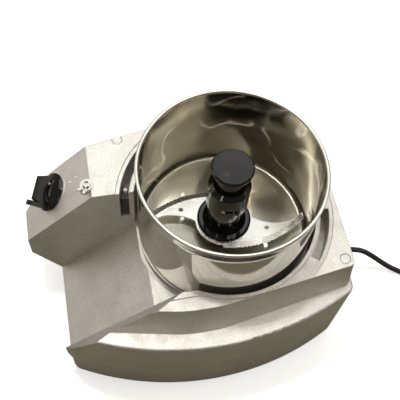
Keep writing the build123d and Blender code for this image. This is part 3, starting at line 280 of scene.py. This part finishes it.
def polished_wall():
    """Bowl's inner wall: polished over turned lines, wavy, with thin curved pale lines of painted
    highlight over steel darkened as painted shade.
    """
    # painted shade: the wall's steel is coloured far darker than the same steel on the outside of the bowl
    f = Finish("polished_wall", (0.40, 0.37, 0.30), 0.09, 1.0)
    lines = f.noise(0.0007, 3, place=f.about_axis())
    # painted highlight: pale curves mixed into the wall's colour stand in for reflections of bright lights
    painted_gleam = f.streaks(0.075, 0.020)
    sheen = f.node("ShaderNodeMath", "ADD")
    f.link(f.spread(lines, 0.06, 0.12), sheen.inputs[0])
    f.link(f.spread(painted_gleam, 0.0, 0.36, 0.0, 1.0), sheen.inputs[1])
    f.feed("Roughness", sheen.outputs[0])
    # dark end: the steel darkened as painted shade; pale end: the painted highlight
    f.feed("Base Color", f.tint(painted_gleam, (0.37, 0.34, 0.27), (1.0, 0.91, 0.83), 0.0, 0.6))
    f.turned_round_axis(0.35)
    f.relief(f.noise(0.050, 1, (1, 1, 1.2)), 0.0024)
    return f.relief(lines, 0.000005)


def turned_floor():
    """Bowl's floor: open turned lines that throw radial highlights."""
    f = Finish("turned_floor", (0.60, 0.57, 0.50), 0.35, 1.0)
    lines = f.noise(0.0019, 2, place=f.about_axis())
    f.feed("Base Color", f.tint(lines, (0.60, 0.58, 0.50), (0.70, 0.68, 0.60)))
    f.feed("Roughness", f.spread(lines, 0.31, 0.39))
    f.turned_round_axis(0.9)
    return f.relief(lines, 0.000004)


def satin_bead_painted_bright():
    """Rim: rolled bead, satin all round, and paler than the bowl's other steel as a painted highlight."""
    # painted highlight: base colour 0.92 against 0.74 for the same steel on the outside of the bowl
    f = Finish("satin_bead_painted_bright", (0.92, 0.90, 0.84), 0.34, 1.0)
    f.feed("Roughness", f.spread(f.noise(0.004, 2), 0.30, 0.40))
    return f.relief(f.noise(0.0008, 2), 0.00001)


BRUSH_GRAIN = 0.0015      # metres


def brushed(name, dark, light, roughness, edge=0.0):
    """Plain machined or rolled metal, a little uneven in tone and sheen."""
    f = Finish(name, light, roughness, 1.0, edge=edge)
    f.feed("Base Color", f.tint(f.noise(BRUSH_GRAIN * 12, 3), dark, light))
    f.feed("Roughness", f.spread(f.noise(BRUSH_GRAIN, 3), roughness - 0.08, roughness + 0.08))
    return f.relief(f.noise(BRUSH_GRAIN / 3, 2), 0.00002)


def ground_steel():
    """Knife: ground flat along its length, then polished."""
    f = Finish("blade_steel", (0.80, 0.80, 0.78), 0.24, 1.0, edge=0.2 * MM)
    lines = f.noise(0.0009, 2, (1, 30, 1))
    f.feed("Base Color", f.tint(f.noise(0.03, 2), (0.80, 0.80, 0.78), (0.92, 0.92, 0.90)))
    f.feed("Roughness", f.spread(lines, 0.22, 0.30))
    return f.relief(lines, 0.000002)


def moulded(name, dark, light, roughness, grain, depth, edge=0.0, **constants):
    """Moulded plastic or rubber: a fine skin with a little wear in its sheen."""
    f = Finish(name, light, roughness, 0.0, edge=edge, **constants)
    f.feed("Base Color", f.tint(f.noise(0.012, 3), dark, light))
    f.feed("Roughness", f.spread(f.noise(0.006, 4), roughness * 0.8, roughness * 1.2))
    return f.relief(f.noise(grain, 2), depth)


def domed_gloss(name, centre, depth, reach):
    """Deep gloss moulding that crowns gently towards a centre, so that highlights curve over it."""
    f = Finish(name, (0.006, 0.006, 0.006), 0.08, 0.0, edge=0.8 * MM)
    away = f.node("ShaderNodeVectorMath", "DISTANCE")
    away.inputs[1].default_value = centre
    f.link(f.place, away.inputs[0])
    falling = f.node("ShaderNodeMapRange", From_Min=0.0, From_Max=reach, To_Min=1.0, To_Max=0.0)
    falling.interpolation_type = "SMOOTHSTEP"
    f.link(away.outputs["Value"], falling.inputs["Value"])
    f.feed("Roughness", f.spread(f.noise(0.006, 4), 0.06, 0.13))
    f.relief(falling.outputs["Result"], depth)
    return f.relief(f.noise(0.0009, 2), 0.000003)


BRUSHED = {               # darkest colour, palest colour, roughness and softened edge
    "zinc_steel": ((0.50, 0.51, 0.53), (0.64, 0.65, 0.67), 0.34),
    "stainless_hardware": ((0.60, 0.59, 0.56), (0.78, 0.77, 0.74), 0.24, 0.3 * MM),
    "machined_steel": ((0.52, 0.52, 0.53), (0.68, 0.68, 0.69), 0.28),
    "motor_aluminium": ((0.54, 0.55, 0.56), (0.68, 0.69, 0.70), 0.48),
    "motor_iron": ((0.16, 0.17, 0.19), (0.28, 0.29, 0.31), 0.50),
    "copper": ((0.52, 0.22, 0.10), (0.74, 0.38, 0.20), 0.34),
    "pale_ring": ((0.70, 0.70, 0.68), (0.82, 0.82, 0.80), 0.34),
    "switch_metal": ((0.60, 0.60, 0.60), (0.68, 0.68, 0.68), 0.30),
    "plug_brass": ((0.62, 0.61, 0.57), (0.76, 0.75, 0.71), 0.22),
}
MOULDED = {               # darkest colour, palest colour, roughness, grain and its depth in metres
    "black_matte_plastic": ((0.025, 0.025, 0.026), (0.042, 0.042, 0.044), 0.52, 0.0006, 0.00003),
    "plunger_plastic": ((0.64, 0.62, 0.57), (0.74, 0.72, 0.67), 0.40, 0.0007, 0.00001),
    "rubber": ((0.018, 0.018, 0.018), (0.034, 0.034, 0.034), 0.66, 0.0008, 0.00004),
    "board": ((0.03, 0.16, 0.08), (0.05, 0.22, 0.12), 0.38, 0.0012, 0.00003),
    "capacitor_can": ((0.70, 0.70, 0.68), (0.80, 0.80, 0.78), 0.36, 0.0010, 0.00001),
    "cord_sheath": ((0.012, 0.012, 0.012), (0.024, 0.024, 0.024), 0.44, 0.0007, 0.00003),
}
CAP_TOP = (0, AXIS_Y * MM, 0.279)


def make_finishes():
    finishes = {
        "cast_aluminium": cast_aluminium(),
        "polished_steel": spun_mirror(),
        "bowl_wall": polished_wall(),
        "bowl_floor": turned_floor(),
        "bowl_bead": satin_bead_painted_bright(),
        "blade_steel": ground_steel(),
        "cap_gloss": domed_gloss("cap_gloss", CAP_TOP, 0.0021, 0.024),
        "black_gloss_plastic": moulded(
            "black_gloss_plastic", (0.004, 0.004, 0.004), (0.008, 0.008, 0.008), 0.10,
            0.0009, 0.000003, edge=1.0 * MM, Specular_IOR_Level=0.7),
        # printed white strokes whose finish also glows by emission: painted light, though they are no lamp
        "mark_paint_painted_glow": moulded(
            "mark_paint_painted_glow", (0.84, 0.84, 0.82), (0.92, 0.92, 0.90), 0.5, 0.0006, 0.00001,
            Emission_Color=(1, 1, 1, 1), Emission_Strength=0.35),
    }
    finishes.update((name, brushed(name, *values)) for name, values in BRUSHED.items())
    finishes.update((name, moulded(name, *values)) for name, values in MOULDED.items())
    return finishes


def dress(piece, *finishes):
    piece.data.materials.clear()
    for finish in finishes:
        piece.data.materials.append(finish)


# ---------------------------------------------------------------- spun bowl
BOWL_R = 99.0             # mm, like every length of this section; outside of the wall
BOWL_WALL = 1.3
BOWL_FLOOR_Z = 145.0
BEAD_AT = (98.7, 274.7)
BEAD_R = 2.0
BEAD_FROM, BEAD_TO = -80, 240
CORNER_R = 5.0
CHIMNEY_R = 14.4
CHIMNEY_TOP_Z = 192.0
SPIN_SEGMENTS = 216


def arc(centre, radius, first, last, steps=10):
    """(radius, height) points on an arc, angles in degrees."""
    angles = [radians(first + (last - first) * k / steps) for k in range(steps + 1)]
    return [(centre[0] + radius * cos(a), centre[1] + radius * sin(a)) for a in angles]


def between(start, end, steps=8):
    """Points between two ends, both left out, so that the shading stays even along a flat."""
    return [tuple(a + (b - a) * k / steps for a, b in zip(start, end)) for k in range(1, steps)]


def bowl_outline():
    inner_r = BOWL_R - BOWL_WALL
    under_z = BOWL_FLOOR_Z - BOWL_WALL
    bore_r = CHIMNEY_R - BOWL_WALL
    corner_at = (inner_r - CORNER_R, BOWL_FLOOR_Z + CORNER_R)
    outer_corner = arc((BOWL_R - CORNER_R - BOWL_WALL, corner_at[1]), CORNER_R + BOWL_WALL, -90, 0)
    bead = arc(BEAD_AT, BEAD_R, BEAD_FROM, BEAD_TO, 28)
    inner_corner = arc(corner_at, CORNER_R, 0, -90)
    root_r, lip_r = CORNER_R / 2, BOWL_WALL / 2
    root = arc((CHIMNEY_R + root_r, BOWL_FLOOR_Z + root_r), root_r, -90, -180)
    mouth = arc((CHIMNEY_R - lip_r, CHIMNEY_TOP_Z - lip_r), lip_r, 0, 180, 8)
    runs = [[(bore_r, under_z)], outer_corner, bead, [(inner_r, BEAD_AT[1] - BEAD_R)],
            inner_corner, root, mouth]
    points = list(runs[0])
    for run in runs[1:]:
        points += between(points[-1], run[0]) + run
    return points + between(points[-1], points[0])


def tree_sockets(tree, inputs):
    """Gives a geometry tree its geometry and named inputs, and returns its two end nodes."""
    tree.interface.new_socket("Geometry", in_out="OUTPUT", socket_type="NodeSocketGeometry")
    for name, kind in inputs:
        tree.interface.new_socket(name, in_out="INPUT", socket_type=kind)
    return tree.nodes.new("NodeGroupInput"), tree.nodes.new("NodeGroupOutput")


def spin_tree():
    """Spins an outline round the upright axis: x outwards from the mean radius, y downwards."""
    tree = bpy.data.node_groups.new("spin_outline", "GeometryNodeTree")
    start, end = tree_sockets(tree, [("Outline", "NodeSocketGeometry"), ("Mean radius", "NodeSocketFloat"),
                                     ("Segments", "NodeSocketInt"), ("Material", "NodeSocketMaterial")])
    outline = tree.nodes.new("GeometryNodeMeshToCurve")
    circle = tree.nodes.new("GeometryNodeCurvePrimitiveCircle")
    sweep = tree.nodes.new("GeometryNodeCurveToMesh")
    smooth = tree.nodes.new("GeometryNodeSetShadeSmooth")
    realize = tree.nodes.new("GeometryNodeRealizeInstances")
    paint = tree.nodes.new("GeometryNodeSetMaterial")
    tree.links.new(start.outputs["Outline"], outline.inputs[0])
    tree.links.new(start.outputs["Mean radius"], circle.inputs["Radius"])
    tree.links.new(start.outputs["Segments"], circle.inputs["Resolution"])
    tree.links.new(circle.outputs[0], sweep.inputs["Curve"])
    tree.links.new(outline.outputs[0], sweep.inputs["Profile Curve"])
    tree.links.new(sweep.outputs[0], smooth.inputs[0])
    tree.links.new(smooth.outputs[0], realize.inputs[0])
    tree.links.new(realize.outputs[0], paint.inputs[0])
    tree.links.new(start.outputs["Material"], paint.inputs["Material"])
    tree.links.new(paint.outputs[0], end.inputs[0])
    return tree


def grown(tree, seed_mesh, values, name):
    """Runs a geometry tree on a seed mesh and returns the finished piece as a plain mesh."""
    seed = bpy.data.objects.new(name + "_seed", seed_mesh)
    bpy.context.scene.collection.objects.link(seed)
    modifier = seed.modifiers.new("grow", "NODES")
    modifier.node_group = tree
    for item in tree.interface.items_tree:
        if item.in_out == "INPUT" and item.name in values:
            modifier[item.identifier] = values[item.name]
    depsgraph = bpy.context.evaluated_depsgraph_get()
    mesh = bpy.data.meshes.new_from_object(seed.evaluated_get(depsgraph), depsgraph=depsgraph)
    bpy.data.objects.remove(seed)
    mesh.name = name
    piece = bpy.data.objects.new(name, mesh)
    bpy.context.scene.collection.objects.link(piece)
    return piece


def face_outwards(mesh):
    work = bmesh.new()
    work.from_mesh(mesh)
    bmesh.ops.remove_doubles(work, verts=work.verts, dist=1e-6)
    bmesh.ops.recalc_face_normals(work, faces=work.faces)
    work.to_mesh(mesh)
    work.free()


def bowl_zone(out, height):
    """Finish number of a bowl face by its radius and height in metres.

    0 is the outside, 1 the wall, 2 the floor and 3 the bead.
    """
    if height > (BEAD_AT[1] - BEAD_R * 0.9) * MM:
        return 3
    if height < (BOWL_FLOOR_Z - BOWL_WALL / 2) * MM or out > (BOWL_R - BOWL_WALL / 2) * MM:
        return 0
    return 2 if height < (BOWL_FLOOR_Z + CORNER_R / 2) * MM else 1


def make_bowl(outside, wall, floor, bead):
    outline = bowl_outline()
    mean = BOWL_R / 2
    seed = bpy.data.meshes.new("bowl_outline")
    places = [((r - mean) * MM, -z * MM, 0) for r, z in outline]
    seed.from_pydata(places, [(k, (k + 1) % len(places)) for k in range(len(places))], [])
    sizes = {"Mean radius": mean * MM, "Segments": SPIN_SEGMENTS, "Material": outside}
    bowl = grown(spin_tree(), seed, sizes, "spun_bowl")
    axis = Vector((0, AXIS_Y * MM, 0))
    bowl.data.transform(Matrix.Translation(axis))
    face_outwards(bowl.data)
    dress(bowl, outside, wall, floor, bead)
    for face in bowl.data.polygons:
        middle = face.center - axis
        face.material_index = bowl_zone(Vector((middle.x, middle.y)).length, middle.z)
    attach(bowl, "bowl")
    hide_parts("bowl")


# ---------------------------------------------------------------- switch marks
PANEL_AT = (-65.6, -192.387, 164.613)     # mm about the drive axis: where the switch's axis meets it
PANEL_SLOPE = 45.0        # degrees
MARK_COUNT = 2
MARK_FROM = (4.1, 33.9)   # mm from that point: to the machine's right, up the slope
MARK_STEP = (-0.9, 10.8)
MARK_HEADING, MARK_TURN = 60.0, 45.0      # degrees; the first mark's heading and each next one's turn
MARK_SIZE = (4.4, 1.1)    # mm, length and width
MARK_CORNER = 0.49        # radius of its ends as a part of the width
MARK_RAISED = 0.15
MARK_SUNK = 0.20


def mark_tree():
    """A row of rounded strokes, each turned a little further than the one before."""
    tree = bpy.data.node_groups.new("mark_row", "GeometryNodeTree")
    start, end = tree_sockets(tree, [("Seed", "NodeSocketGeometry"), ("Count", "NodeSocketInt"),
                                     ("Start", "NodeSocketVector"), ("Step", "NodeSocketVector"),
                                     ("Heading", "NodeSocketFloat"), ("Turn", "NodeSocketFloat"),
                                     ("Length", "NodeSocketFloat"), ("Width", "NodeSocketFloat"),
                                     ("Thickness", "NodeSocketFloat"), ("Material", "NodeSocketMaterial")])
    outline = tree.nodes.new("GeometryNodeCurvePrimitiveQuadrilateral")
    corner = tree.nodes.new("ShaderNodeMath")
    corner.operation = "MULTIPLY"
    corner.inputs[1].default_value = MARK_CORNER
    rounded = tree.nodes.new("GeometryNodeFilletCurve")
    flat = tree.nodes.new("GeometryNodeFillCurve")
    upwards = tree.nodes.new("ShaderNodeCombineXYZ")
    thick = tree.nodes.new("GeometryNodeExtrudeMesh")
    both = tree.nodes.new("GeometryNodeJoinGeometry")
    row = tree.nodes.new("GeometryNodeMeshLine")
    index = tree.nodes.new("GeometryNodeInputIndex")
    turned = tree.nodes.new("ShaderNodeMath")
    turned.operation = "MULTIPLY_ADD"
    heading = tree.nodes.new("ShaderNodeCombineXYZ")
    placed = tree.nodes.new("GeometryNodeInstanceOnPoints")
    realize = tree.nodes.new("GeometryNodeRealizeInstances")
    paint = tree.nodes.new("GeometryNodeSetMaterial")
    links = [(start.outputs["Length"], outline.inputs["Width"]),
             (start.outputs["Width"], outline.inputs["Height"]),
             (start.outputs["Width"], corner.inputs[0]), (corner.outputs[0], rounded.inputs["Radius"]),
             (outline.outputs[0], rounded.inputs["Curve"]), (rounded.outputs[0], flat.inputs["Curve"]),
             (start.outputs["Thickness"], upwards.inputs["Z"]), (flat.outputs[0], thick.inputs["Mesh"]),
             (upwards.outputs[0], thick.inputs["Offset"]), (thick.outputs["Mesh"], both.inputs[0]),
             (flat.outputs[0], both.inputs[0]), (start.outputs["Count"], row.inputs["Count"]),
             (start.outputs["Start"], row.inputs["Start Location"]),
             (start.outputs["Step"], row.inputs["Offset"]),
             (index.outputs[0], turned.inputs[0]), (start.outputs["Turn"], turned.inputs[1]),
             (start.outputs["Heading"], turned.inputs[2]), (turned.outputs[0], heading.inputs["Z"]),
             (row.outputs[0], placed.inputs["Points"]), (both.outputs[0], placed.inputs["Instance"]),
             (heading.outputs[0], placed.inputs["Rotation"]), (placed.outputs[0], realize.inputs[0]),
             (realize.outputs[0], paint.inputs[0]), (start.outputs["Material"], paint.inputs["Material"]),
             (paint.outputs[0], end.inputs[0])]
    for source, target in links:
        tree.links.new(source, target)
    return tree


def make_switch_marks(finish):
    """Two printed strokes on the panel, up the slope from the rotary switch; their finish glows as painted
    light.
    """
    seed = bpy.data.meshes.new("switch_marks")
    seed.from_pydata([(0, 0, 0)], [], [])
    marks = grown(mark_tree(), seed, {
        "Count": MARK_COUNT, "Start": (MARK_FROM[0] * MM, MARK_FROM[1] * MM, 0),
        "Step": (MARK_STEP[0] * MM, MARK_STEP[1] * MM, 0), "Heading": radians(MARK_HEADING),
        "Turn": radians(MARK_TURN), "Length": MARK_SIZE[0] * MM, "Width": MARK_SIZE[1] * MM,
        "Thickness": (MARK_RAISED + MARK_SUNK) * MM, "Material": finish}, "switch_marks")
    level, rise = cos(radians(PANEL_SLOPE)), sin(radians(PANEL_SLOPE))
    right, up_slope, out = Vector((1, 0, 0)), Vector((0, level, rise)), Vector((0, -rise, level))
    panel = Matrix((right, up_slope, out)).transposed().to_4x4()
    panel.translation = in_frame(PANEL_AT) - out * MARK_SUNK * MM
    marks.data.transform(panel)
    face_outwards(marks.data)
    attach(marks, "base")


# ---------------------------------------------------------------- floor and light
FLOOR_HALF = 6.0          # metres, as the next
FLOOR_DROP = 0.0002       # under the feet
FLOOR_GLOW = 0.55
FLOOR_DIM = (0.24, 0.222, 0.170, 1)       # what lights and mirrors see of it
PAPER_WHITE = (0.95, 0.95, 0.95, 1)


ROOM = [(0.0, (0.10, 0.088, 0.058)), (0.25, (0.17, 0.155, 0.12)), (0.6, (0.17, 0.16, 0.13)),
        (1.0, (0.12, 0.115, 0.095))]      # (height on the sky, colour)
LIGHT_AIM = (0, 0, 0.2)
SOFTBOXES = {             # place and size in metres, power in watts, colour
    "softbox_high": ((-1.10, 0.35, 2.05), (2.6, 2.6), 22.5, (1.0, 0.995, 0.96)),
    "softbox_front": ((-1.1, -2.0, 0.75), (2.2, 1.3), 9.6, (1.0, 0.955, 0.945)),
    "softbox_back": ((0.3, 1.9, 1.0), (0.8, 0.5), 5, (1, 1, 1)),
    "strip_over": ((0.35, 0.75, 1.9), (1.3, 0.04), 4.0, (1.0, 0.93, 0.86)),
    "strip_side": ((0.75, -0.75, 1.7), (0.04, 1.1), 4.0, (1.0, 0.93, 0.86)),
    "spot_over": ((-0.24, -0.20, 2.0), (0.12, 0.12), 9.0, (1.0, 0.97, 0.93)),
}


def make_floor():
    """Pale paper: white to look at, while its glow on the object stays that of a dim, warm room."""
    data = bpy.data.meshes.new("floor")
    corners = [(x * FLOOR_HALF, y * FLOOR_HALF, -FLOOR_DROP)
               for x, y in ((-1, -1), (1, -1), (1, 1), (-1, 1))]
    data.from_pydata(corners, [], [(0, 1, 2, 3)])
    floor = bpy.data.objects.new("floor", data)
    bpy.context.scene.collection.objects.link(floor)
    f = Finish("floor_paper", (0.90, 0.90, 0.89), 0.9)
    f.feed("Base Color", f.tint(f.noise(0.4, 2), (0.895, 0.895, 0.885), (0.905, 0.905, 0.895)))
    f.set("Specular IOR Level", 0.0)
    f.set("Emission Color", (1, 1, 1, 1))
    f.set("Emission Strength", FLOOR_GLOW)
    dim = f.node("ShaderNodeBsdfDiffuse", Color=FLOOR_DIM)
    path = f.node("ShaderNodeLightPath")
    mix = f.node("ShaderNodeMixShader")
    f.link(path.outputs["Is Camera Ray"], mix.inputs["Fac"])
    f.link(dim.outputs[0], mix.inputs[1])
    f.link(f.shader.outputs[0], mix.inputs[2])
    f.link(mix.outputs[0], f.tree.nodes["Material Output"].inputs["Surface"])
    dress(floor, f.material)


def softbox(name, place, size, power, colour):
    data = bpy.data.lights.new(name, "AREA")
    data.shape = "RECTANGLE"
    data.size, data.size_y = size
    data.energy = power
    data.color = colour
    lamp = bpy.data.objects.new(name, data)
    way = Vector(LIGHT_AIM) - Vector(place)
    lamp.matrix_world = Matrix.Translation(place) @ way.to_track_quat("-Z", "Y").to_matrix().to_4x4()
    bpy.context.scene.collection.objects.link(lamp)


def make_room():
    """White paper to look at, while lights and mirrors see a dim room, palest near the horizon."""
    world = bpy.data.worlds.new("studio")
    world.use_nodes = True
    tree = world.node_tree
    place = tree.nodes.new("ShaderNodeTexCoord")
    split = tree.nodes.new("ShaderNodeSeparateXYZ")
    ramp = tree.nodes.new("ShaderNodeValToRGB")
    while len(ramp.color_ramp.elements) < len(ROOM):
        ramp.color_ramp.elements.new(0.5)
    for stop, (at, colour) in zip(ramp.color_ramp.elements, ROOM):
        stop.position = at
        stop.color = (*colour, 1)
    room = tree.nodes["Background"]
    paper = tree.nodes.new("ShaderNodeBackground")
    paper.inputs["Color"].default_value = PAPER_WHITE
    path = tree.nodes.new("ShaderNodeLightPath")
    mix = tree.nodes.new("ShaderNodeMixShader")
    tree.links.new(place.outputs["Generated"], split.inputs["Vector"])
    tree.links.new(split.outputs["Z"], ramp.inputs["Fac"])
    tree.links.new(ramp.outputs["Color"], room.inputs["Color"])
    tree.links.new(path.outputs["Is Camera Ray"], mix.inputs["Fac"])
    tree.links.new(room.outputs[0], mix.inputs[1])
    tree.links.new(paper.outputs[0], mix.inputs[2])
    tree.links.new(mix.outputs[0], tree.nodes["World Output"].inputs["Surface"])
    bpy.context.scene.world = world
    bpy.context.scene.view_settings.view_transform = "Standard"


def make_lights():
    for name, values in SOFTBOXES.items():
        softbox(name, *values)


# ---------------------------------------------------------------- the whole object
make_camera()
cord = make_cord()
finishes = make_finishes()
slot_of = {part["node"]: part["material_slot"] for part in frame["record"]["subparts"]}
for name, node in frame["nodes"].items():
    dress(node, finishes[slot_of[name]])
dress(frame["nodes"]["hub_cap"], finishes["cap_gloss"])
dress(cord, finishes["cord_sheath"])
make_bowl(finishes["polished_steel"], finishes["bowl_wall"], finishes["bowl_floor"],
          finishes["bowl_bead"])
make_switch_marks(finishes["mark_paint_painted_glow"])
make_floor()
make_room()
make_lights()
